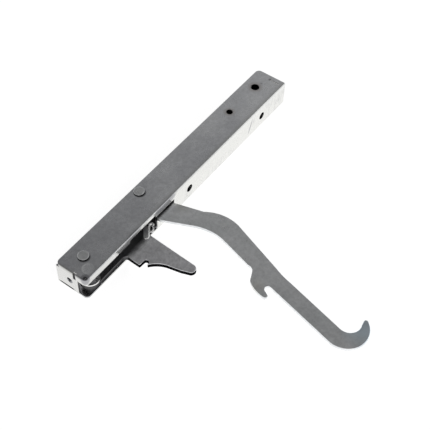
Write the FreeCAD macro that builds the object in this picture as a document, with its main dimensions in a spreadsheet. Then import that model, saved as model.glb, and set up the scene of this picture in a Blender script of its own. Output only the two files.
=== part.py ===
import FreeCAD, Part
import math
import os

V = FreeCAD.Vector
doc = FreeCAD.newDocument("OvenDoorHinge")

# Driving sizes in millimetres, measured from the near end, front face and lower cheek of the case
SIZES = [
    ("case_length", 200.0),
    ("case_width", 22.0),
    ("case_height", 18.0),
    ("sheet", 1.2),
    ("bend_radius", 0.9),
    ("corner_radius", 2.6),
    ("cheek_corner_radius", 3.0),
    ("back_flange_start", 92.0),
    ("back_flange_height", 9.0),
    ("far_flange_width", 11.0),
    ("corner_hole_set_in", 1.8),
    ("corner_hole_diameter", 1.5),
    ("origin_along", 133.85),
    ("window_length", 63.0),
    ("window_bottom", 2.0),
    ("window_top", 13.2),
    ("flare_start", 38.0),
    ("flare_length", 24.0),
    ("flare_top", 15.3),
    ("slot_end", 79.3),
    ("slot_bottom", 8.5),
    ("end_opening", 6.4),
    ("relief_across", 7.6),
    ("relief_width", 1.9),
    ("end_slit_start", 10.4),
    ("end_slit_length", 9.8),
    ("end_slit_bottom", 1.3),
    ("end_slit", 1.1),
    ("end_hole_across", 12.5),
    ("end_hole_diameter", 4.2),
    ("web_hole_near", 94.7),
    ("web_hole_spacing", 78.3),
    ("web_hole_diameter", 5.1),
    ("cheek_hole_set_in", 15.5),
    ("cheek_hole_spacing", 29.1),
    ("cheek_hole_across", 13.8),
    ("cheek_hole_diameter", 5.7),
    ("cheek_small_diameter", 4.3),
    ("arm_thickness", 2.5),
    ("arm_bottom", 9.2),
    ("arm_pivot_along", 68.0),
    ("arm_pivot_across", 17.5),
    ("arm_root_radius", 4.3),
    ("shoulder_reach", 35.3),
    ("claw_reach", 81.5),
    ("arm_reach", 127.2),
    ("hook_inner_radius", 7.0),
    ("hook_outer_radius", 13.3),
    ("lever_thickness", 3.5),
    ("lever_bottom", 5.3),
    ("lever_pivot_along", 8.1),
    ("lever_pivot_across", 4.5),
    ("lever_heel_radius", 6.0),
    ("notch_reach", 11.7),
    ("lever_reach", 36.2),
    ("pin_diameter", 5.2),
    ("pin_head_diameter", 6.2),
    ("pin_spacer_diameter", 6.4),
    ("pin_washer_diameter", 11.6),
    ("washer_height", 1.0),
    ("rivet_diameter", 4.0),
    ("rivet_head_diameter", 6.6),
    ("rivet_head_height", 1.0),
    ("rivet_edge_radius", 0.35),
    ("spacer_diameter", 7.0),
    ("stop_along", 12.7),
    ("stop_across", 12.6),
    ("stop_sleeve_diameter", 4.8),
    ("stop_rivet_diameter", 3.0),
    ("running_fit", 0.05),
    ("face_gap", 0.1),
    ("clip_along", 48.2),
    ("clip_across", -3.5),
    ("clip_turn_deg", 38.5),
    ("clip_thickness", 1.0),
    ("clip_tongue_length", 9.6),
    ("clip_tongue_width", 3.2),
    ("clip_loop_length", 6.8),
    ("clip_loop_width", 3.4),
    ("clip_loop_wall", 0.9),
    ("clip_peg_diameter", 2.0),
    ("clip_peg_set_in", 2.4),
    ("spring_wire", 1.8),
    ("spring_mean_radius", 3.8),
    ("spring_across", 6.6),
    ("spring_start", 101.0),
    ("spring_turns", 13.0),
    ("spring_pitch", 3.58),
    ("spring_hook_along", 72.5),
    ("hook_hole_diameter", 2.4),
    ("anchor_set_in", 4.2),
    ("anchor_thickness", 1.0),
    ("anchor_width", 7.2),
    ("anchor_start", 2.9),
]

sheet = doc.addObject("Spreadsheet::Sheet", "Sizes")
for row, (alias, value) in enumerate(SIZES, start=1):
    sheet.set("A%d" % row, alias)
    sheet.set("B%d" % row, str(value))
    sheet.setAlias("B%d" % row, alias)
doc.recompute()


def size(alias):
    """Read one driving size."""
    return float(sheet.get(alias))


def cell(text):
    """Turn words that are driving sizes into links to their cells."""
    words = []
    for word in text.split():
        named = word.replace("_", "").isalpha() and word != "mm"
        unit = "deg" if word.endswith("_deg") else "mm"
        words.append("( Sizes.%s * 1 %s )" % (word, unit) if named else word)
    return " ".join(words)


def bind(target, **links):
    """Bind properties to expressions of driving sizes."""
    for name, text in links.items():
        target.setExpression(name.replace("__", "."), cell(text))
    return target


def box(name, x, y, z, dx, dy, dz):
    """A block with bound corner and bound sides."""
    block = doc.addObject("Part::Box", name)
    bind(block, Length=dx, Width=dy, Height=dz)
    bind(block, Placement__Base__x=x, Placement__Base__y=y, Placement__Base__z=z)
    return block


def upright(name, x, y, z, diameter, height):
    """A cylinder along Z."""
    rod = doc.addObject("Part::Cylinder", name)
    bind(rod, Radius=diameter + " / 2", Height=height)
    bind(rod, Placement__Base__x=x, Placement__Base__y=y, Placement__Base__z=z)
    return rod


def lying(name, x, y, z, diameter, height, direction):
    """A cylinder along another direction."""
    rod = upright(name, x, y, z, diameter, height)
    rod.Placement = FreeCAD.Placement(rod.Placement.Base, FreeCAD.Rotation(V(0, 0, 1), direction))
    bind(rod, Placement__Base__x=x, Placement__Base__y=y, Placement__Base__z=z)
    return rod


def rounded(name, base, radius, choose):
    """Round the chosen edges of a solid."""
    doc.recompute()
    chosen = [i for i, edge in enumerate(base.Shape.Edges, start=1) if choose(edge)]
    blend = doc.addObject("Part::Fillet", name)
    blend.Base = base
    blend.Edges = [(i, size(radius), size(radius)) for i in chosen]
    return blend


def union(name, parts):
    """Join solids to one."""
    joined = doc.addObject("Part::MultiFuse", name)
    joined.Shapes = parts
    return joined


def cut(name, base, tool):
    """Take one solid out of another."""
    result = doc.addObject("Part::Cut", name)
    result.Base = base
    result.Tool = tool
    return result


def plane(body, role):
    """One origin plane of a body."""
    return [item for item in body.Origin.OriginFeatures if item.Role == role][0]


def new_sketch(body, role, name):
    """A sketch on an origin plane of its body."""
    sketch = body.newObject("Sketcher::SketchObject", name)
    sketch.AttachmentSupport = [(plane(body, role), "")]
    sketch.MapMode = "FlatFace"
    return sketch


class Outline:
    """A closed outline of straight stretches and arcs."""

    def __init__(self, start):
        self.start = V(start[0], start[1], 0)
        self.here = self.start
        self.pieces = []

    def to(self, x, y):
        """Go straight to a point."""
        there = V(x, y, 0)
        self.pieces.append(Part.LineSegment(self.here, there))
        self.here = there

    def arc(self, middle, end):
        """Go by an arc through a middle point to an end point."""
        there = V(end[0], end[1], 0)
        self.pieces.append(Part.Arc(self.here, V(middle[0], middle[1], 0), there))
        self.here = there

    def close(self):
        """Go straight back to the start."""
        self.to(self.start.x, self.start.y)

    def fill(self, sketch):
        """Put the outline in a sketch."""
        for piece in self.pieces:
            sketch.addGeometry(piece, False)


def polar(centre, radius, degrees):
    """A point on a circle."""
    turn = math.radians(degrees)
    return centre[0] + radius * math.cos(turn), centre[1] + radius * math.sin(turn)


def near(point, along, across):
    """A point set off from another."""
    return point[0] + along, point[1] + across


def tangent(point, centre, radius, side):
    """Where the line from a point touches a circle, on its left (1) or right (-1) side."""
    dx = centre[0] - point[0]
    dy = centre[1] - point[1]
    reach = math.hypot(dx, dy)
    turn = math.degrees(math.atan2(-dy, -dx)) - side * math.degrees(math.acos(radius / reach))
    return polar(centre, radius, turn)


def plate(name, outline, bottom, thickness):
    """A flat plate of one outline."""
    body = doc.addObject("PartDesign::Body", name)
    sketch = new_sketch(body, "XY_Plane", name + "_outline")
    outline.fill(sketch)
    bind(sketch, AttachmentOffset__Base__z=bottom)
    pad = body.newObject("PartDesign::Pad", name + "_pad")
    pad.Profile = sketch
    bind(pad, Length=thickness)
    body.Tip = pad
    return body


def wire(name, edges, radius):
    """A round wire along a path in the XZ direction, as one swept solid."""
    path = Part.Wire(Part.__sortEdges__(edges))
    start = path.OrderedEdges[0]
    first = start.FirstParameter
    point = path.OrderedVertexes[0].Point
    if (start.valueAt(first) - point).Length > 0.001:
        first = start.LastParameter
    ring = Part.Wire(Part.makeCircle(radius, point, start.tangentAt(first)))
    swept = doc.addObject("Part::Feature", name)
    swept.Shape = path.makePipeShell([ring], True, False)
    return swept


def is_along(edge, axis):
    """Whether an edge is straight along an axis."""
    if edge.Curve.TypeId != "Part::GeomLine":
        return False
    return abs(abs(edge.Curve.Direction.dot(axis)) - 1.0) < 1e-6


length = size("case_length")
width = size("case_width")
height = size("case_height")
wall = size("sheet")

# Folded case: an outer block with bent edges less an inner block of the same form
block = box("case_block", "0 mm", "0 mm", "0 mm", "case_length", "case_width", "case_height")


def near_corner(edge):
    """The upright edge between front and near end."""
    middle = edge.CenterOfMass
    return is_along(edge, V(0, 0, 1)) and middle.x < length / 2 and middle.y < width / 2


def bent_edge(edge):
    """An edge of the two cheeks that meets the front or the near end."""
    middle = edge.CenterOfMass
    flat = edge.BoundBox.ZLength < 1e-6
    return flat and (middle.x < size("corner_radius") or middle.y < size("corner_radius"))


block = rounded("case_corner", block, "corner_radius", near_corner)
block = rounded("case_bends", block, "bend_radius", bent_edge)
hollow = box("hollow_block", "sheet", "sheet", "sheet", "case_length", "case_width",
             "case_height - 2 * sheet")
inner = doc.addObject("Part::Fillet", "hollow_corner")
doc.recompute()
inner.Base = hollow
inner_radius = size("corner_radius") - wall
inner.Edges = [(i, inner_radius, inner_radius) for i, edge in enumerate(hollow.Shape.Edges, start=1)
               if near_corner(edge)]
channel = cut("case_channel", block, inner)
back_flange = box("back_flange", "back_flange_start", "case_width - sheet", "0 mm",
                  "case_length - back_flange_start", "sheet", "back_flange_height")
far_flange = box("far_flange", "case_length - sheet", "case_width - far_flange_width", "0 mm", "sheet",
                 "far_flange_width", "back_flange_height")
shell = union("case_shell", [channel, back_flange, far_flange])


def corner_cut(name, block_start, rod_centre):
    """What is taken off to round a back corner of the upper cheek."""
    corner = box(name + "_block", block_start, "case_width - cheek_corner_radius", "case_height - sheet - 1 mm",
                 "cheek_corner_radius + 1 mm", "cheek_corner_radius + 1 mm", "sheet + 2 mm")
    rod = upright(name + "_rod", rod_centre, "case_width - cheek_corner_radius", "case_height - sheet - 2 mm",
                  "( 2 * cheek_corner_radius )", "sheet + 4 mm")
    return cut(name, corner, rod)


# Openings of the case: window, flare, arm slot, end gap, holes and anchor slits
window_tall = "window_top - window_bottom"


def window_end(edge):
    """The far edges of a window cutter."""
    return is_along(edge, V(0, 1, 0)) and edge.CenterOfMass.x > size("flare_start") + 1


window = box("window_cut", "-1 mm", "-1 mm", "window_bottom", "window_length + 1 mm", "sheet + 2.2 mm",
             window_tall)
window = rounded("window_round", window, "bend_radius", window_end)
flare = box("flare_cut", "flare_start", "-1 mm", "case_height / 2", "flare_length", "sheet + 1.2 mm",
            "flare_top - case_height / 2")
flare = rounded("flare_round", flare, "sheet", lambda edge: is_along(edge, V(0, 1, 0)))
openings = [
    corner_cut("near_corner_cut", "-1 mm", "cheek_corner_radius"),
    corner_cut("far_corner_cut", "case_length - cheek_corner_radius", "case_length - cheek_corner_radius"),
    window,
    flare,
    box("slot_cut", "window_length - 4 mm", "-1 mm", "slot_bottom", "slot_end - window_length + 4 mm",
        "sheet + 2 mm", "window_top - slot_bottom"),
    box("end_window_cut", "-1 mm", "-1 mm", "window_bottom", "sheet + 2.6 mm", "end_opening + 1 mm",
        window_tall),
    box("relief_cut", "-1 mm", "relief_across", "window_top", "sheet + 1.2 mm", "relief_width",
        "case_height"),
    box("end_slit_cut", "-1 mm", "end_slit_start", "end_slit_bottom", "sheet + 1.1 mm", "end_slit_length",
        "end_slit"),
    upright("corner_hole_cut", "corner_hole_set_in", "corner_hole_set_in", "case_height - sheet - 0.2 mm",
            "corner_hole_diameter", "sheet + 1 mm"),
    lying("end_hole_cut", "-1 mm", "end_hole_across", "case_height / 2", "end_hole_diameter",
          "sheet + 2 mm", V(1, 0, 0)),
    lying("web_hole_cut", "web_hole_near", "-1 mm", "case_height / 2", "web_hole_diameter",
          "sheet + 2 mm", V(0, 1, 0)),
    lying("web_hole_far_cut", "web_hole_near + web_hole_spacing", "-1 mm", "case_height / 2",
          "web_hole_diameter", "sheet + 2 mm", V(0, 1, 0)),
    upright("cheek_hole_cut", "case_length - cheek_hole_set_in", "cheek_hole_across",
            "case_height - sheet - 1 mm", "cheek_hole_diameter", "sheet + 2 mm"),
    upright("cheek_small_cut", "case_length - cheek_hole_set_in - cheek_hole_spacing", "cheek_hole_across",
            "case_height - sheet - 1 mm", "cheek_small_diameter", "sheet + 2 mm"),
    upright("arm_rivet_cut", "arm_pivot_along", "arm_pivot_across", "-1 mm", "rivet_diameter",
            "case_height + 2 mm"),
    upright("stop_rivet_cut", "stop_along", "stop_across", "-1 mm", "stop_rivet_diameter",
            "case_height + 2 mm"),
    upright("lever_pin_cut", "lever_pivot_along", "lever_pivot_across", "-1 mm", "pin_head_diameter",
            "case_height + 2 mm"),
    box("anchor_cut", "case_length - anchor_set_in", "anchor_start", "-1 mm",
        "anchor_thickness", "anchor_width", "case_height + 2 mm"),
]
case = cut("case", shell, union("case_openings", openings))

# Hook arm: root eye, curved neck, claw on the lower edge and round hook at the end
root = (size("arm_pivot_along"), size("arm_pivot_across"))
root_radius = size("arm_root_radius")
shoulder = (root[0], -size("shoulder_reach"))
claw = (root[0], -size("claw_reach"))
hook = (root[0], -size("arm_reach"))
hook_in = near(hook, 1.8, 0.0)
hook_out = near(hook, -2.6, -0.4)
inner_hook = size("hook_inner_radius")
outer_hook = size("hook_outer_radius")
neck_low = near(root, -5.1, -19.5)
neck_high = near(root, 10.6, -19.4)
claw_throat = near(claw, -5.4, 0.9)
shank_bend = near(claw, 4.0, -5.9)
low_touch = tangent(neck_low, root, root_radius, 1)
high_touch = tangent(neck_high, root, root_radius, -1)

arm_line = Outline(low_touch)
arm_line.to(*neck_low)
arm_line.to(*near(shoulder, 2.3, 16.7))
arm_line.arc(near(shoulder, 6.0, 4.8), near(shoulder, 5.6, -4.3))
arm_line.to(*near(claw, -0.6, 19.5))
arm_line.arc(near(claw, -0.8, 17.4), near(claw, -2.4, 15.5))
arm_line.to(*near(claw, -6.8, 13.5))
arm_line.arc(near(claw, -8.6, 12.7), near(claw, -9.8, 11.4))
arm_line.arc(near(claw, -12.5, 5.8), near(claw, -13.4, 0.0))
arm_line.arc(near(claw, -12.5, -1.0), near(claw, -10.8, -0.9))
arm_line.to(*near(claw, -9.3, 2.0))
arm_line.arc(near(claw, -7.3, 3.2), claw_throat)
arm_line.to(*tangent(claw_throat, hook_out, outer_hook, -1))
arm_line.arc(polar(hook_out, outer_hook, -115), polar(hook_out, outer_hook, -38))
arm_line.arc(near(hook, 8.2, -6.9), near(hook, 6.6, -6.3))
arm_line.to(*polar(hook_in, inner_hook, -70))
arm_line.arc(polar(hook_in, inner_hook, -135), tangent(shank_bend, hook_in, inner_hook, -1))
arm_line.to(*shank_bend)
arm_line.arc(near(claw, 5.4, -0.1), near(claw, 7.3, 5.2))
arm_line.to(*near(shoulder, 19.5, -6.3))
arm_line.arc(near(shoulder, 20.6, 0.9), near(shoulder, 15.6, 16.3))
arm_line.to(*neck_high)
arm_line.to(*high_touch)
arm_line.arc(near(root, 0.0, root_radius), low_touch)
arm_plate = plate("arm_plate", arm_line, "arm_bottom", "arm_thickness")
arm_bores = union("arm_bores", [
    upright("arm_bore", "arm_pivot_along", "arm_pivot_across", "0 mm",
            "( rivet_diameter + 2 * running_fit )", "case_height"),
    upright("arm_hook_bore", "spring_hook_along", "spring_across", "0 mm", "hook_hole_diameter",
            "case_height"),
])
hook_arm = cut("hook_arm", arm_plate, arm_bores)

# Where the clip lies on the lever: its long axis and the peg that holds it
clip_turn = math.radians(size("clip_turn_deg"))
clip_ahead = V(math.cos(clip_turn), math.sin(clip_turn), 0)
clip_aside = V(math.sin(clip_turn), -math.cos(clip_turn), 0)
clip_front = V(size("clip_along"), size("clip_across"), 0)


def clip_point(ahead, aside):
    """A point of the clip, counted along and across its long axis."""
    point = clip_front + clip_ahead * ahead + clip_aside * aside
    return point.x, point.y


def clip_rod(name, bottom, tall):
    """A cylinder of the peg's diameter on the peg's axis."""
    rod = upright(name, "0 mm", "0 mm", bottom, "clip_peg_diameter", tall)
    bind(rod, Placement__Base__x="clip_along + clip_peg_set_in * cos( clip_turn_deg )",
         Placement__Base__y="clip_across + clip_peg_set_in * sin( clip_turn_deg )")
    return rod


def clip_slot(name, start, end, aside, half):
    """A flat bar with round ends along the clip's axis."""
    line = Outline(clip_point(start + half, aside - half))
    line.to(*clip_point(end - half, aside - half))
    line.arc(clip_point(end, aside), clip_point(end - half, aside + half))
    line.to(*clip_point(start + half, aside + half))
    line.arc(clip_point(start, aside), clip_point(start + half, aside - half))
    return plate(name, line, "lever_bottom + lever_thickness", "clip_thickness")


# Pivot lever: round heel on its pin, a notch for the oven frame and a blunt nose
heel = (size("lever_pivot_along"), size("lever_pivot_across"))
heel_radius = size("lever_heel_radius")
notch = (heel[0], -size("notch_reach"))
nose = (heel[0], -size("lever_reach"))
front_inside = near(heel, 21.9, -5.7)
back_corner = near(heel, 41.1, 0.9)
heel_front = tangent(front_inside, heel, heel_radius, 1)
heel_back = tangent(back_corner, heel, heel_radius, -1)

lever_line = Outline(heel_front)
lever_line.to(*front_inside)
lever_line.arc(near(heel, 23.5, -6.4), near(heel, 24.1, -7.9))
lever_line.to(*near(notch, 23.8, 0.0))
lever_line.to(*near(notch, 27.7, -0.2))
lever_line.arc(near(notch, 29.2, -1.7), near(notch, 27.7, -3.2))
lever_line.to(*near(notch, 26.5, -3.3))
lever_line.arc(near(notch, 30.8, -7.7), near(notch, 33.2, -12.9))
lever_line.to(*near(nose, 35.1, 3.4))
lever_line.to(*near(nose, 36.7, -0.8))
lever_line.arc(near(nose, 39.9, -3.2), near(nose, 42.7, 0.0))
lever_line.to(*near(heel, 44.2, -8.5))
lever_line.to(*near(heel, 44.3, -2.1))
lever_line.arc(near(heel, 43.4, 0.1), back_corner)
lever_line.to(*heel_back)
lever_line.arc(polar(heel, heel_radius, 180), heel_front)
lever_plate = plate("lever_plate", lever_line, "lever_bottom", "lever_thickness")
lever_bores = union("lever_bores", [
    upright("lever_bore", "lever_pivot_along", "lever_pivot_across", "0 mm",
            "( pin_diameter + 2 * running_fit )", "case_height"),
    clip_rod("clip_bore", "0 mm", "case_height"),
])
pivot_lever = cut("pivot_lever", lever_plate, lever_bores)


# Pins and rivets: shanks through both cheeks, low domed heads on the upper side
def rivet(name, along, across, diameter):
    """A rivet with a domed head on the upper cheek and a flush lower end."""
    shank = upright(name + "_shank", along, across, "0 mm", diameter, "case_height + 0.2 mm")
    head = upright(name + "_head", along, across, "case_height", "rivet_head_diameter",
                   "rivet_head_height")
    dome = rounded(name + "_dome", head, "rivet_edge_radius",
                   lambda edge: edge.CenterOfMass.z > height + 0.5 and len(edge.Vertexes) == 1)
    return union(name, [shank, dome])


def spacer(name, along, across, outside, inside, bottom, tall):
    """A plain ring between two plates."""
    solid = upright(name + "_solid", along, across, bottom, outside, tall)
    bore = upright(name + "_bore", along, across, bottom + " - 1 mm", inside, tall + " + 2 mm")
    return cut(name, solid, bore)


arm_rivet = rivet("arm_rivet", "arm_pivot_along", "arm_pivot_across", "rivet_diameter")
stop_rivet = rivet("stop_rivet", "stop_along", "stop_across", "stop_rivet_diameter")
lever_pin = union("lever_pin", [
    upright("pin_shank", "lever_pivot_along", "lever_pivot_across", "0 mm", "pin_diameter",
            "case_height"),
    upright("pin_head_lower", "lever_pivot_along", "lever_pivot_across", "0 mm", "pin_head_diameter",
            "sheet"),
    upright("pin_head_upper", "lever_pivot_along", "lever_pivot_across", "case_height - sheet",
            "pin_head_diameter", "sheet"),
])
arm_spacer_lower = spacer("arm_spacer_lower", "arm_pivot_along", "arm_pivot_across", "spacer_diameter",
                          "rivet_diameter", "sheet", "( arm_bottom - face_gap - sheet )")
arm_spacer_upper = spacer("arm_spacer_upper", "arm_pivot_along", "arm_pivot_across", "spacer_diameter",
                          "rivet_diameter", "( arm_bottom + arm_thickness + face_gap )",
                          "( case_height - sheet - arm_bottom - arm_thickness - face_gap )")
lever_spacer_lower = spacer("lever_spacer_lower", "lever_pivot_along", "lever_pivot_across",
                            "pin_spacer_diameter", "pin_diameter", "sheet",
                            "( lever_bottom - face_gap - sheet )")
washer_base = "( lever_bottom + lever_thickness + face_gap )"
pin_washer = spacer("pin_washer", "lever_pivot_along", "lever_pivot_across", "pin_washer_diameter",
                    "pin_diameter", washer_base, "washer_height")
lever_spacer_upper = spacer("lever_spacer_upper", "lever_pivot_along", "lever_pivot_across",
                            "pin_spacer_diameter", "pin_diameter", "( %s + washer_height )" % washer_base,
                            "( case_height - sheet - %s - washer_height )" % washer_base)
stop_sleeve = spacer("stop_sleeve", "stop_along", "stop_across", "stop_sleeve_diameter",
                     "stop_rivet_diameter", "sheet", "( case_height - 2 * sheet )")

# Spring clip: a flat tongue with a side loop, held by its peg in the lever
tongue_half = size("clip_tongue_width") / 2
loop_half = size("clip_loop_width") / 2
loop_wall = size("clip_loop_wall")
loop_aside = tongue_half + loop_half - 0.25
loop_start = size("clip_tongue_length") / 2
loop_end = loop_start + size("clip_loop_length")
clip_blank = union("clip_blank", [
    clip_slot("clip_tongue", 0.0, size("clip_tongue_length"), 0.0, tongue_half),
    clip_slot("clip_loop", loop_start, loop_end, loop_aside, loop_half),
    clip_rod("clip_peg", "lever_bottom", "lever_thickness + clip_thickness"),
])
clip_eye = clip_slot("clip_eye", loop_start + loop_wall, loop_end - loop_wall, loop_aside,
                     loop_half - loop_wall)
lock_clip = cut("lock_clip", clip_blank, clip_eye)

# Main spring: ridged coil with a round hook on the arm and a bent hook behind the anchor
coil_radius = size("spring_mean_radius")
wire_radius = size("spring_wire") / 2
turns = int(round(size("spring_turns")))
coil_start = size("spring_start")
pitch = size("spring_pitch")
coil_end = coil_start + turns * pitch
spring_y = size("spring_across")
spring_z = size("arm_bottom") + size("arm_thickness") / 2
coil = doc.addObject("PartDesign::Body", "coil")
coil_sketch = new_sketch(coil, "XZ_Plane", "coil_profile")
ridge = coil_radius + wire_radius
valley = ridge - 0.6 * wire_radius
coil_line = Outline((coil_start, coil_radius - wire_radius))
coil_line.to(coil_start, valley)
for turn in range(turns):
    left = coil_start + turn * pitch
    coil_line.to(left + pitch / 2, ridge)
    coil_line.to(left + pitch, valley)
coil_line.to(coil_end, coil_radius - wire_radius)
coil_line.close()
coil_line.fill(coil_sketch)
coil_turn = coil.newObject("PartDesign::Revolution", "coil_turn")
coil_turn.Profile = coil_sketch
coil_turn.ReferenceAxis = (coil_sketch, ["H_Axis"])
coil_turn.Angle = 360.0
coil.Tip = coil_turn
bind(coil, Placement__Base__y="spring_across", Placement__Base__z="arm_bottom + arm_thickness / 2")


def at(x, z):
    """A point in the upright plane of the spring axis."""
    return V(x, spring_y, spring_z + z)


ring_x = size("spring_hook_along") + coil_radius
behind = length - size("anchor_set_in") + size("anchor_thickness") + wire_radius + 0.3
bend = 1.3 * wire_radius + 0.2
near_path = [
    Part.Arc(at(ring_x + 0.5 * coil_radius, -0.866 * coil_radius), at(ring_x - coil_radius, 0),
             at(ring_x, coil_radius)).toShape(),
    Part.makeLine(at(ring_x, coil_radius), at(coil_start + 1.0, coil_radius)),
]
far_path = [
    Part.makeLine(at(coil_end - 1.0, coil_radius), at(behind - bend, coil_radius)),
    Part.Arc(at(behind - bend, coil_radius), at(behind - bend * 0.2929, coil_radius - bend * 0.2929),
             at(behind, coil_radius - bend)).toShape(),
    Part.makeLine(at(behind, coil_radius - bend), at(behind, -0.6 * coil_radius)),
]
hook_radius = 0.94 * wire_radius
main_spring = union("main_spring", [coil, wire("near_hook", near_path, hook_radius),
                                    wire("far_hook", far_path, hook_radius)])

# Spring anchor: a plate through the slits of both cheeks, with a hole for the hook
anchor_plate = box("anchor_plate", "case_length - anchor_set_in", "anchor_start", "0 mm",
                   "anchor_thickness", "anchor_width", "case_height")
anchor_hole = lying("anchor_hole", "case_length - anchor_set_in - 1 mm", "spring_across",
                    "arm_bottom + arm_thickness / 2 + spring_mean_radius", "hook_hole_diameter",
                    "anchor_thickness + 2 mm", V(1, 0, 0))
spring_anchor = cut("spring_anchor", anchor_plate, anchor_hole)

# Check every object, move each piece to the shared frame and write it
doc.recompute()
NODES = [case, hook_arm, pivot_lever, lock_clip, arm_rivet, arm_spacer_upper, arm_spacer_lower, lever_pin,
         pin_washer, lever_spacer_upper, lever_spacer_lower, stop_rivet, stop_sleeve, main_spring,
         spring_anchor]
for item in doc.Objects:
    if "Invalid" in item.State or "Error" in item.State:
        raise RuntimeError("object failed: " + item.Name)
os.makedirs("parts", exist_ok=True)
for node in NODES:
    if node.Shape.isNull() or not node.Shape.isValid():
        raise RuntimeError("bad solid: " + node.Name)
    shape = node.Shape.copy()
    shape.translate(V(-size("origin_along"), 0, -height / 2))
    shape.exportStep("parts/%s.step" % node.Name)
    print(node.Name, "solids", len(shape.Solids), "volume %.0f" % shape.Volume)
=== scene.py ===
import math

import bpy
from mathutils import Matrix, Vector


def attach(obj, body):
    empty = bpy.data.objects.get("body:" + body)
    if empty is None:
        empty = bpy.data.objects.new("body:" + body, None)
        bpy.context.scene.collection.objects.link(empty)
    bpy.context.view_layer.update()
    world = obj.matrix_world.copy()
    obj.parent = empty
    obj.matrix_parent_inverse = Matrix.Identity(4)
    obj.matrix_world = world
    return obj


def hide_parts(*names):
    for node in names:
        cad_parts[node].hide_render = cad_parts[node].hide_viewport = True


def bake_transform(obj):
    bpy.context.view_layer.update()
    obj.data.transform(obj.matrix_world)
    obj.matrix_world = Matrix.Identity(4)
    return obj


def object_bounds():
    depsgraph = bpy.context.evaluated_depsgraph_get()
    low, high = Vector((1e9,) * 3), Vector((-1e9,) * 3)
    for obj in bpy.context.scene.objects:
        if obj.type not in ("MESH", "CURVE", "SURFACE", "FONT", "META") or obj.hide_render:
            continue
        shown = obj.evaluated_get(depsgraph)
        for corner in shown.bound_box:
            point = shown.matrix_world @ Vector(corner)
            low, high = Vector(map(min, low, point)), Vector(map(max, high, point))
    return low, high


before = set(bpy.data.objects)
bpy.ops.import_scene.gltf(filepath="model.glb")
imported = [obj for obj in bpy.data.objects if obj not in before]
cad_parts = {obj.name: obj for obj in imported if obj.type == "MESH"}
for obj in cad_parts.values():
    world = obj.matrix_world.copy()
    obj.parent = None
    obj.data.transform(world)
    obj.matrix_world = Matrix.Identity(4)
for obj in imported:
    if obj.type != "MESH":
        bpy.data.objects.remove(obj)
cad_low, cad_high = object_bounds()
MM = 0.001

# Wound spring inside the case: lengths in metres, angles in degrees
WIRE_RADIUS = 0.86 * MM
COIL_RADIUS = 3.8 * MM
COIL_TURNS = 25
TURN_STEPS = 28
COIL_START_X = -32.0 * MM
COIL_END_X = 12.8 * MM
HOOK_STEPS = 24
HOOK_START = 300.0
HOOK_END = 90.0
SPRING_HOOK_X = -61.35 * MM
TAIL_STEPS = 6
TAIL_BEND = 1.4 * MM
TAIL_X = 64.15 * MM
TAIL_DROP = 0.6 * COIL_RADIUS
SPRING_AXIS = Vector((0.0, 6.6 * MM, 1.45 * MM))

# Bright wire on the clip: its line is in millimetres along and across the tongue
CLIP_FRONT = Vector((-85.65 * MM, -3.5 * MM, 0.65 * MM))
CLIP_TURN = 38.5
CLIP_LINE = [
    (0.5, -1.2), (0.0, -0.3), (0.3, 0.9), (1.6, 1.5), (6.0, 1.7), (10.2, 2.0), (11.3, 2.9),
    (11.3, 3.9), (10.2, 4.3), (9.2, 3.7), (7.8, 4.3), (6.2, 3.9), (5.2, 3.0), (5.0, 2.1),
]
CLIP_WIRE_RADIUS = 0.42 * MM
KNOT_STEPS = 6
WIRE_SIDES = 3

# Limits of the inner faces of the case, which carry painted shade, and where the darker painted shade of
# its depth starts
INNER_HALF_HEIGHT = 7.9 * MM
INNER_FRONT = 1.1 * MM
INNER_BACK = 20.9 * MM
INNER_END = -132.75 * MM
INNER_FAR_END = 65.05 * MM
DEEP_START = -60.0 * MM

# Softened edges
WELD_REACH = 0.002 * MM
FLAT_ANGLE = math.radians(0.5)
SHARP_ANGLE = math.radians(40)
SOFT_EDGES = {
    "case": 0.06 * MM,
    "hook_arm": 0.35 * MM,
    "pivot_lever": 0.4 * MM,
    "spring_anchor": 0.35 * MM,
}

# Floor and studio: the sky's stops are height and grey
FLOOR_SIZE = 8.0
FLOOR_GAP = 0.1 * MM
FLOOR_TONE = (0.4, 0.4, 0.4, 1.0)
FLOOR_ROUGHNESS = 0.9
GLOW_TONE = (1.0, 1.0, 1.0, 1.0)
GLOW_STRENGTH = 0.86
SKY_STOPS = [(0.10, 1.00), (0.40, 0.52), (0.62, 0.36), (0.80, 0.21), (1.00, 0.12)]
LAMP_AIM = Vector((0.0, -0.05, 0.0))
LEFT_LAMP_PLACE = (-0.9, -0.5, 0.9)
LEFT_LAMP_SIZE = 0.9
LEFT_LAMP_POWER = 1.2
RIGHT_LAMP_PLACE = (0.7, -0.9, 0.8)
RIGHT_LAMP_SIZE = 0.8
RIGHT_LAMP_POWER = 1.6

# Camera of the photograph: angles in degrees, places in metres
CAMERA_AZIMUTH = 56.16
CAMERA_ELEVATION = 51.33
CAMERA_ROLL = 2.76
CAMERA_TARGET = Vector((-0.04075, -0.0206, -0.009))
CAMERA_DISTANCE = 0.5401
FOCAL_PIXELS = 888.0
FRAME_PIXELS = 430.0
SENSOR_WIDTH = 36.0
CLIP_START = 0.01

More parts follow.
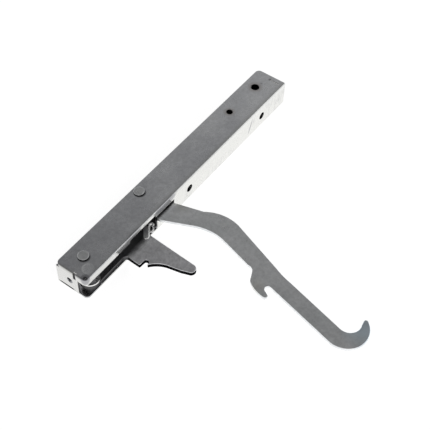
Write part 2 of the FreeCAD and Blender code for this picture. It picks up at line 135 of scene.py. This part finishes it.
# Noises of the metal: scale, detail, roughness and, for the scuffs, stretch
CLOUD = (42.0, 6.0, 0.62)
FLECK = (420.0, 5.0, 0.7)
SCUFF = (70.0, 6.0, 0.7, (1.0, 1.0, 0.35))
PATCH = (28.0, 2.0, 0.5)
SHEEN = (140.0, 4.0, 0.6)
GRAIN = (2200.0, 3.0, 0.6)
GRAIN_DEPTH = 0.2 * MM
SHEEN_START, SHEEN_END = 0.3, 0.7
SHEEN_BELOW, SHEEN_ABOVE = 0.06, 0.07
CLOUD_START, CLOUD_END = 0.34, 0.66
FLECK_STOPS = [(0.34, 0.74), (0.62, 1.10)]
SCUFF_STOPS = [(0.47, 0.0), (0.50, 1.0), (0.53, 0.0)]
PATCH_STOPS = [(0.50, 0.0), (0.60, 0.35)]
STEEP_STOPS = [(0.20, 1.0), (0.45, 0.0)]

# Tones of the metal, of its wear, and of the painted shade and reflections
WHITE = (1.0, 1.0, 1.0)
PALE = (0.98, 0.99, 1.0)
WEB_TONE = (0.80, 0.80, 0.775)
BLUISH = (0.66, 0.80, 0.90)
YELLOWISH = (0.78, 0.74, 0.62)
GREENISH = (0.62, 0.62, 0.56)
LIP_TONE = (0.60, 0.61, 0.63)
OLIVE = (0.50, 0.50, 0.47)
SCUFF_TONE = (0.45, 0.45, 0.46)
RUST = (0.44, 0.38, 0.34)
SHADE = (0.34, 0.34, 0.36)
# Painted shade on the plates' roots
ROOT_SHADE = (0.11, 0.11, 0.112)
DARK = (0.10, 0.10, 0.11)
BLACK = (0.02, 0.02, 0.021)

# Places on the case that carry marks, in millimetres, and the painted shade on the plates' roots where they
# run into the case
CHEEK_HOLE = (50.65, 13.8, 9.0)
SMALL_HOLE = (21.55, 13.8, 9.0)
WEB_HOLES = [(-39.15, 0.0, 0.0), (39.15, 0.0, 0.0)]
CHEEK_HOLE_RADIUS = 2.85
SMALL_HOLE_RADIUS = 2.15
WEB_HOLE_RADIUS = 2.55
HOLE_RIM = 0.08
ALONG_CHEEK_HOLE = (1.0, 1.0, 4.0)
ALONG_WEB_HOLE = (1.0, 4.0, 1.0)
DIMPLE = (-132.05, 1.8, 9.0)
ARM_ROOT_SHADE = (-2.2 * MM, 0.4 * MM)
LEVER_ROOT_SHADE = (-6.0 * MM, -1.0 * MM)


def mark(place, reach, tone, strength, spread=(1.0, 1.0, 1.0), turn=(0.0, 0.0, 0.0)):
    """A soft mark on a piece: place and reach in millimetres, turn in radians."""
    return Vector(place) * MM, (reach[0] * MM, reach[1] * MM), tone, strength, spread, turn


def hole_shade(place, radius, spread):
    """A round dark mark of painted shade that takes in a hole's wall."""
    return mark(place, (radius, radius + HOLE_RIM), BLACK, 1.0, spread)


CASE_MARKS = [
    # Painted reflection: darker near end and lighter far end of the cheek
    mark((-134.0, 11.0, 9.0), (5.0, 75.0), SHADE, 0.24),
    mark((66.0, 11.0, 9.0), (10.0, 110.0), PALE, 0.28, (1.0, 1.0, 0.05)),
    # Upper edge of the web
    mark((10.0, 0.0, 9.0), (0.6, 3.4), OLIVE, 0.55, (60.0, 1.0, 0.4)),
    # Pale rim at the lever pin's end
    mark((-126.1, 5.0, 9.0), (3.3, 3.7), PALE, 0.9),
    # Rust round the cheek's holes
    mark(CHEEK_HOLE, (3.2, 5.6), RUST, 0.45),
    mark(SMALL_HOLE, (2.6, 4.4), RUST, 0.45),
    # Painted shade on the dimple and edge of the near corner, and on the lip below it
    mark(DIMPLE, (2.4, 3.0), SHADE, 0.85, (1.0, 1.0, 1.8)),
    mark(DIMPLE, (1.0, 1.6), DARK, 0.9),
    mark((-133.6, 4.8, 8.8), (0.5, 0.9), SHADE, 0.8, (1.0, 4.0, 1.0)),
    mark((-131.0, 0.5, -8.4), (1.0, 1.7), LIP_TONE, 0.6, (6.0, 4.0, 1.0)),
    # Painted shade on the bend of the folded end, and painted shadow in its slit
    mark((-133.85, 14.5, 8.6), (0.6, 1.8), OLIVE, 0.7, (1.0, 7.0, 1.0)),
    mark((-133.85, 15.3, -7.15), (0.55, 0.8), BLACK, 0.9, (1.0, 9.0, 1.0)),
    # Painted shadows beside the rivet heads, on their lower side
    mark((-121.45, 11.8, 9.0), (3.2, 4.0), DARK, 0.8),
    mark((-65.95, 16.65, 9.0), (3.2, 3.9), DARK, 0.8),
    # Painted reflection, darker, on the lip over the arm and over the lever
    mark((-62.85, 0.0, 7.4), (1.0, 1.3), SHADE, 0.8, (8.5, 1.0, 2.4)),
    mark((-92.0, 0.3, 8.6), (1.0, 1.4), SHADE, 0.6, (6.0, 1.0, 1.0)),
    # Specks at the far end
    mark((56.0, 12.4, 9.0), (0.4, 1.0), SHADE, 0.6),
    mark((62.6, 10.2, 9.0), (0.5, 1.2), SHADE, 0.8),
    # Scratches on the web
    mark((26.0, 0.0, 0.5), (0.40, 0.75), SHADE, 0.9, (1.0, 1.0, 9.0), (0.0, 0.35, 0.0)),
    mark((29.5, 0.0, 2.5), (0.10, 0.4), SCUFF_TONE, 0.7, (1.0, 1.0, 8.0), (0.0, 0.30, 0.0)),
    mark((59.5, 0.0, -1.0), (0.10, 0.4), SCUFF_TONE, 0.6, (1.0, 1.0, 6.0), (0.0, 0.30, 0.0)),
    # Painted shade in the holes of the cheek and of the web
    hole_shade(CHEEK_HOLE, CHEEK_HOLE_RADIUS, ALONG_CHEEK_HOLE),
    hole_shade(SMALL_HOLE, SMALL_HOLE_RADIUS, ALONG_CHEEK_HOLE),
    *(hole_shade(place, WEB_HOLE_RADIUS, ALONG_WEB_HOLE) for place in WEB_HOLES),
]
ARM_MARKS = [
    mark((-64.0, -136.0, 2.0), (3.0, 14.0), BLUISH, 0.7),
    mark((-75.0, -74.0, 2.0), (1.0, 6.0), YELLOWISH, 0.3),
    mark((-54.0, -6.0, 2.0), (1.0, 7.0), GREENISH, 0.5),
]


class Nodes:
    """Short hand for building a material's nodes."""

    def __init__(self, name):
        self.material = bpy.data.materials.new(name)
        self.material.use_nodes = True
        self.tree = self.material.node_tree
        self.tree.nodes.clear()
        self.output = self.add("ShaderNodeOutputMaterial")

    def add(self, kind, **settings):
        """A node with its settings and default inputs."""
        node = self.tree.nodes.new(kind)
        for key, value in settings.items():
            if hasattr(node, key):
                setattr(node, key, value)
            else:
                node.inputs[key.replace("_", " ")].default_value = value
        return node

    def link(self, out, into):
        """Join two sockets."""
        self.tree.links.new(out, into)

    def place(self):
        """The place on the piece."""
        return self.add("ShaderNodeTexCoord").outputs["Object"]

    def split(self, vector):
        """The X, Y and Z of a vector."""
        split = self.add("ShaderNodeSeparateXYZ")
        self.link(vector, split.inputs[0])
        return split.outputs

    def noise(self, scale, detail, rough, stretch=(1.0, 1.0, 1.0)):
        """A noise value over the piece, stretched along its axes."""
        mapping = self.add("ShaderNodeMapping")
        mapping.inputs["Scale"].default_value = stretch
        self.link(self.place(), mapping.inputs["Vector"])
        noise = self.add("ShaderNodeTexNoise", Scale=scale, Detail=detail, Roughness=rough)
        self.link(mapping.outputs["Vector"], noise.inputs["Vector"])
        return noise.outputs["Fac"]

    def ramp(self, value, stops):
        """A colour ramp of (place, grey or colour) stops."""
        ramp = self.add("ShaderNodeValToRGB")
        elements = ramp.color_ramp.elements
        while len(elements) < len(stops):
            elements.new(0.5)
        for element, (place, colour) in zip(elements, stops):
            element.position = place
            rgb = (colour,) * 3 if isinstance(colour, float) else colour
            element.color = (*rgb, 1.0)
        self.link(value, ramp.inputs["Fac"])
        return ramp.outputs["Color"]

    def mix(self, factor, first, second, kind="MIX"):
        """Mix two colours."""
        mix = self.add("ShaderNodeMix", data_type="RGBA", blend_type=kind)
        for value, socket in ((factor, mix.inputs[0]), (first, mix.inputs[6]), (second, mix.inputs[7])):
            if hasattr(value, "is_linked"):
                self.link(value, socket)
            elif isinstance(value, float):
                socket.default_value = value
            else:
                socket.default_value = (*value, 1.0)
        return mix.outputs[2]

    def spot(self, place, reach, strength, spread, turn):
        """A soft spot: full strength to the first radius, none beyond the second, spread along its axes."""
        shift = self.add("ShaderNodeVectorMath", operation="SUBTRACT")
        shift.inputs[1].default_value = place
        self.link(self.place(), shift.inputs[0])
        mapping = self.add("ShaderNodeMapping", vector_type="TEXTURE")
        mapping.inputs["Rotation"].default_value = turn
        mapping.inputs["Scale"].default_value = spread
        self.link(shift.outputs["Vector"], mapping.inputs["Vector"])
        gap = self.add("ShaderNodeVectorMath", operation="LENGTH")
        self.link(mapping.outputs["Vector"], gap.inputs[0])
        near, far = reach
        fade = self.add("ShaderNodeMapRange", From_Min=near, From_Max=far, To_Min=strength, To_Max=0.0)
        self.link(gap.outputs["Value"], fade.inputs["Value"])
        return fade.outputs["Result"]

    def darkening_masks(self, edge, root_shade, inside):
        """Masks and tones of the darkened places that are asked for: upright faces, and painted shade at
        the plates' roots and on the case's inner faces.
        """
        masks = []
        if edge is not None:
            masks.append((self.steepness(), edge))
        # Painted shade on the plates' roots where they run into the case
        if root_shade is not None:
            masks.append((self.fade_across(*root_shade), ROOT_SHADE))
        # Painted shade on the case's inner faces, near black in the depth
        if inside is not None:
            masks.append((self.inside(INNER_END), inside))
            masks.append((self.inside(DEEP_START), BLACK))
        return masks

    def fade_across(self, start, end):
        """0 before a place across the part, 1 after a second one."""
        fade = self.add("ShaderNodeMapRange", From_Min=start, From_Max=end)
        self.link(self.split(self.place())["Y"], fade.inputs["Value"])
        return fade.outputs["Result"]

    def inside(self, start):
        """1 on the inner faces of the case beyond a place along it, 0 elsewhere."""
        spot = self.split(self.place())
        tall = self.add("ShaderNodeMath", operation="ABSOLUTE")
        self.link(spot["Z"], tall.inputs[0])
        limits = (
            (tall.outputs[0], "LESS_THAN", INNER_HALF_HEIGHT),
            (spot["Y"], "GREATER_THAN", INNER_FRONT),
            (spot["Y"], "LESS_THAN", INNER_BACK),
            (spot["X"], "GREATER_THAN", start),
            (spot["X"], "LESS_THAN", INNER_FAR_END),
        )
        product = None
        for value, kind, limit in limits:
            test = self.add("ShaderNodeMath", operation=kind)
            test.inputs[1].default_value = limit
            self.link(value, test.inputs[0])
            if product is None:
                product = test.outputs[0]
                continue
            both = self.add("ShaderNodeMath", operation="MULTIPLY")
            self.link(product, both.inputs[0])
            self.link(test.outputs[0], both.inputs[1])
            product = both.outputs[0]
        return product

    def steepness(self):
        """1 on upright faces, 0 on level ones."""
        normal = self.add("ShaderNodeNewGeometry").outputs["True Normal"]
        flat = self.add("ShaderNodeMath", operation="ABSOLUTE")
        self.link(self.split(normal)["Z"], flat.inputs[0])
        return self.ramp(flat.outputs[0], STEEP_STOPS)


def zinc(name, dark, light, roughness, grain, speckle=0.5, edge=None, inside=None, root_shade=None, marks=(),
         upright=None):
    """Zinc plated steel with a cloudy tone, fine specks and grain, and the wear, marks and painted shade
    that are asked for.
    """
    made = Nodes(name)
    colour = made.ramp(made.noise(*CLOUD), [(CLOUD_START, dark), (CLOUD_END, light)])
    colour = made.mix(speckle, colour, made.ramp(made.noise(*FLECK), FLECK_STOPS), "MULTIPLY")
    if upright is not None:
        lines = made.ramp(made.noise(*SCUFF), SCUFF_STOPS)
        patch = made.ramp(made.noise(*PATCH), PATCH_STOPS)
        worn = made.mix(made.mix(1.0, lines, patch, "MULTIPLY"), upright, SCUFF_TONE)
        colour = made.mix(made.steepness(), colour, worn)
    for place, reach, tone, strength, spread, turn in marks:
        colour = made.mix(made.spot(place, reach, strength, spread, turn), colour, tone)
    tint = None
    for mask, tone in made.darkening_masks(edge, root_shade, inside):
        colour = made.mix(mask, colour, tone)
        tint = made.mix(mask, WHITE if tint is None else tint, tone)
    shader = made.add("ShaderNodeBsdfPrincipled", Metallic=1.0)
    made.link(colour, shader.inputs["Base Color"])
    if tint is not None:
        made.link(tint, shader.inputs["Specular Tint"])
    sheen_stops = [(SHEEN_START, roughness - SHEEN_BELOW), (SHEEN_END, roughness + SHEEN_ABOVE)]
    rough = made.ramp(made.noise(*SHEEN), sheen_stops)
    made.link(rough, shader.inputs["Roughness"])
    bump = made.add("ShaderNodeBump", Strength=grain, Distance=GRAIN_DEPTH)
    made.link(made.noise(*GRAIN), bump.inputs["Height"])
    made.link(bump.outputs["Normal"], shader.inputs["Normal"])
    made.link(shader.outputs["BSDF"], made.output.inputs["Surface"])
    return made.material


# Materials of the pieces
# The case's inner faces carry painted shade, near black in the depth
case_zinc = zinc("case_zinc", (0.64, 0.65, 0.68), (0.82, 0.83, 0.85), 0.24, 0.10,
                 inside=(0.48, 0.48, 0.49), marks=CASE_MARKS, upright=WEB_TONE)
# Arm and lever: painted shade on their roots where they run into the case
arm_zinc = zinc("arm_zinc", (0.80, 0.82, 0.83), (0.90, 0.91, 0.92), 0.32, 0.12,
                root_shade=ARM_ROOT_SHADE, marks=ARM_MARKS)
lever_zinc = zinc("lever_zinc", (0.66, 0.66, 0.68), (0.88, 0.88, 0.90), 0.34, 0.14, speckle=0.85,
                  edge=(0.012, 0.012, 0.013), root_shade=LEVER_ROOT_SHADE)
# Rivets: the heads' upright sides darkened as a painted reflection of the cheek
rivet_zinc = zinc("rivet_zinc", (0.64, 0.65, 0.66), (0.80, 0.81, 0.81), 0.30, 0.08, edge=(0.16, 0.16, 0.16))
bright_wire = zinc("bright_wire", (0.90, 0.90, 0.89), (0.98, 0.98, 0.97), 0.24, 0.05, speckle=0.2)
spring_oiled = zinc("spring_oiled", (0.05, 0.05, 0.055), (0.10, 0.10, 0.11), 0.36, 0.06)
clip_zinc = zinc("clip_zinc", (0.70, 0.70, 0.70), (0.86, 0.86, 0.85), 0.34, 0.08)
pin_zinc = zinc("pin_zinc", (0.68, 0.69, 0.71), (0.82, 0.83, 0.85), 0.28, 0.08)
inner_steel = zinc("inner_steel", (0.20, 0.20, 0.21), (0.30, 0.30, 0.31), 0.40, 0.08)
NODE_LOOKS = {
    "case": case_zinc,
    "hook_arm": arm_zinc,
    "pivot_lever": lever_zinc,
    "lock_clip": clip_zinc,
    "pin_washer": bright_wire,
    "arm_rivet": rivet_zinc,
    "stop_rivet": rivet_zinc,
    "lever_pin": pin_zinc,
    "arm_spacer_upper": inner_steel,
    "arm_spacer_lower": inner_steel,
    "lever_spacer_upper": inner_steel,
    "lever_spacer_lower": inner_steel,
    "stop_sleeve": inner_steel,
    "spring_anchor": bright_wire,
    "main_spring": spring_oiled,
}
for name, look in NODE_LOOKS.items():
    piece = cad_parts[name]
    piece.data.materials.clear()
    piece.data.materials.append(look)

# Edges that catch the light
for name, softness in SOFT_EDGES.items():
    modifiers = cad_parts[name].modifiers
    weld = modifiers.new("joined_faces", "WELD")
    weld.merge_threshold = WELD_REACH
    merge = modifiers.new("whole_faces", "DECIMATE")
    merge.decimate_type = "DISSOLVE"
    merge.angle_limit = FLAT_ANGLE
    bevel = modifiers.new("soft_edge", "BEVEL")
    bevel.width = softness
    bevel.segments = 1
    bevel.use_clamp_overlap = False
    bevel.limit_method = "ANGLE"
    bevel.angle_limit = SHARP_ANGLE
    modifiers.new("level_normals", "WEIGHTED_NORMAL")


def spring_path():
    """Points of the main spring: hook round the arm's hole, close coil, bent tail behind the anchor."""
    ring = Vector((SPRING_HOOK_X + COIL_RADIUS, 0.0, 0.0))
    points = []
    for step in range(HOOK_STEPS + 1):
        turn = math.radians(HOOK_START + (HOOK_END - HOOK_START) * step / HOOK_STEPS)
        points.append(ring + COIL_RADIUS * Vector((math.cos(turn), 0.0, math.sin(turn))))
    coil_steps = COIL_TURNS * TURN_STEPS
    for step in range(coil_steps + 1):
        turn = 2.0 * math.pi * step / TURN_STEPS
        along = COIL_START_X + (COIL_END_X - COIL_START_X) * step / coil_steps
        points.append(Vector((along, COIL_RADIUS * math.sin(turn), COIL_RADIUS * math.cos(turn))))
    bend = Vector((TAIL_X - TAIL_BEND, 0.0, COIL_RADIUS - TAIL_BEND))
    for step in range(TAIL_STEPS + 1):
        turn = math.pi / 2.0 * step / TAIL_STEPS
        points.append(bend + TAIL_BEND * Vector((math.sin(turn), 0.0, math.cos(turn))))
    points.append(Vector((TAIL_X, 0.0, -TAIL_DROP)))
    return [point + SPRING_AXIS for point in points]


def clip_path():
    """Points of the bright wire on the clip: along the tongue's end and side, then round the loop."""
    turn = math.radians(CLIP_TURN)
    ahead = Vector((math.cos(turn), math.sin(turn), 0.0)) * MM
    aside = Vector((math.sin(turn), -math.cos(turn), 0.0)) * MM
    knots = [CLIP_FRONT + ahead * along + aside * across for along, across in CLIP_LINE]
    points = []
    for before, start, end, after in zip(knots[:1] + knots, knots, knots[1:], knots[2:] + knots[-1:]):
        lean = (end - before) * 0.5
        bend = before - 2.5 * start + 2.0 * end - 0.5 * after
        twist = (after - before) * 0.5 + (start - end) * 1.5
        for step in range(KNOT_STEPS):
            share = step / KNOT_STEPS
            points.append(start + lean * share + bend * share ** 2 + twist * share ** 3)
    return points + knots[-1:]


def wire_piece(name, points, radius, look):
    """A round wire along points, as a mesh."""
    curve = bpy.data.curves.new(name, "CURVE")
    curve.dimensions = "3D"
    curve.bevel_depth = radius
    curve.bevel_resolution = WIRE_SIDES
    curve.use_fill_caps = True
    spline = curve.splines.new("POLY")
    spline.points.add(len(points) - 1)
    for knot, point in zip(spline.points, points):
        knot.co = (*point, 1.0)
    made = bpy.data.objects.new(name + "_curve", curve)
    bpy.context.collection.objects.link(made)
    mesh = bpy.data.meshes.new_from_object(made.evaluated_get(bpy.context.evaluated_depsgraph_get()))
    bpy.data.objects.remove(made)
    piece = bpy.data.objects.new(name, mesh)
    bpy.context.collection.objects.link(piece)
    mesh.polygons.foreach_set("use_smooth", [True] * len(mesh.polygons))
    mesh.materials.clear()
    mesh.materials.append(look)
    return piece


clip = wire_piece("clip_wire", clip_path(), CLIP_WIRE_RADIUS, bright_wire)
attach(clip, "lever_body")

coil = wire_piece("spring_coil", spring_path(), WIRE_RADIUS, spring_oiled)
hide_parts("main_spring")
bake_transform(coil)

# Floor
bpy.ops.mesh.primitive_plane_add(size=FLOOR_SIZE, location=(0.0, 0.0, cad_low.z - FLOOR_GAP))
floor = bpy.context.object
floor.name = "floor"
paint = Nodes("floor_white")
floor_shader = paint.add("ShaderNodeBsdfPrincipled", Roughness=FLOOR_ROUGHNESS)
floor_shader.inputs["Base Color"].default_value = FLOOR_TONE
floor_shader.inputs["Emission Color"].default_value = GLOW_TONE
floor_shader.inputs["Emission Strength"].default_value = GLOW_STRENGTH
paint.link(floor_shader.outputs["BSDF"], paint.output.inputs["Surface"])
floor.data.materials.append(paint.material)

# Studio: white near the horizon, grey overhead, with two large soft lamps
world = bpy.data.worlds.new("studio")
bpy.context.scene.world = world
world.use_nodes = True
sky = world.node_tree
sky.nodes.clear()
place = sky.nodes.new("ShaderNodeTexCoord")
split = sky.nodes.new("ShaderNodeSeparateXYZ")
ramp = sky.nodes.new("ShaderNodeValToRGB")
glow = sky.nodes.new("ShaderNodeBackground")
out = sky.nodes.new("ShaderNodeOutputWorld")
while len(ramp.color_ramp.elements) < len(SKY_STOPS):
    ramp.color_ramp.elements.new(0.5)
for element, (height, grey) in zip(ramp.color_ramp.elements, SKY_STOPS):
    element.position = height
    element.color = (grey, grey, grey, 1.0)
sky.links.new(place.outputs["Generated"], split.inputs[0])
sky.links.new(split.outputs["Z"], ramp.inputs["Fac"])
sky.links.new(ramp.outputs["Color"], glow.inputs["Color"])
sky.links.new(glow.outputs["Background"], out.inputs["Surface"])


def soft_lamp(name, place, size, power):
    """A large square lamp that looks at the part."""
    light = bpy.data.lights.new(name, "AREA")
    light.size = size
    light.energy = power
    lamp = bpy.data.objects.new(name, light)
    lamp.location = place
    lamp.rotation_mode = "QUATERNION"
    lamp.rotation_quaternion = (LAMP_AIM - Vector(place)).to_track_quat("-Z", "Y")
    bpy.context.collection.objects.link(lamp)


soft_lamp("lamp_left", LEFT_LAMP_PLACE, LEFT_LAMP_SIZE, LEFT_LAMP_POWER)
soft_lamp("lamp_right", RIGHT_LAMP_PLACE, RIGHT_LAMP_SIZE, RIGHT_LAMP_POWER)

# Camera
azimuth = math.radians(CAMERA_AZIMUTH)
elevation = math.radians(CAMERA_ELEVATION)
roll = math.radians(CAMERA_ROLL)
ahead = Vector((
    math.cos(elevation) * math.sin(azimuth),
    math.cos(elevation) * math.cos(azimuth),
    -math.sin(elevation),
))
level = Vector((math.cos(azimuth), -math.sin(azimuth), 0.0))
upright = level.cross(ahead)
right = math.cos(roll) * level + math.sin(roll) * upright
upward = math.cos(roll) * upright - math.sin(roll) * level
lens = bpy.data.cameras.new("camera")
lens.sensor_width = SENSOR_WIDTH
lens.lens = FOCAL_PIXELS / FRAME_PIXELS * SENSOR_WIDTH
lens.clip_start = CLIP_START
camera = bpy.data.objects.new("camera", lens)
turned = Matrix((right, upward, -ahead)).transposed().to_4x4()
camera.matrix_world = Matrix.Translation(CAMERA_TARGET - ahead * CAMERA_DISTANCE) @ turned
bpy.context.collection.objects.link(camera)
bpy.context.scene.camera = camera
bpy.context.scene.view_settings.view_transform = "Standard"

bpy.context.view_layer.update()
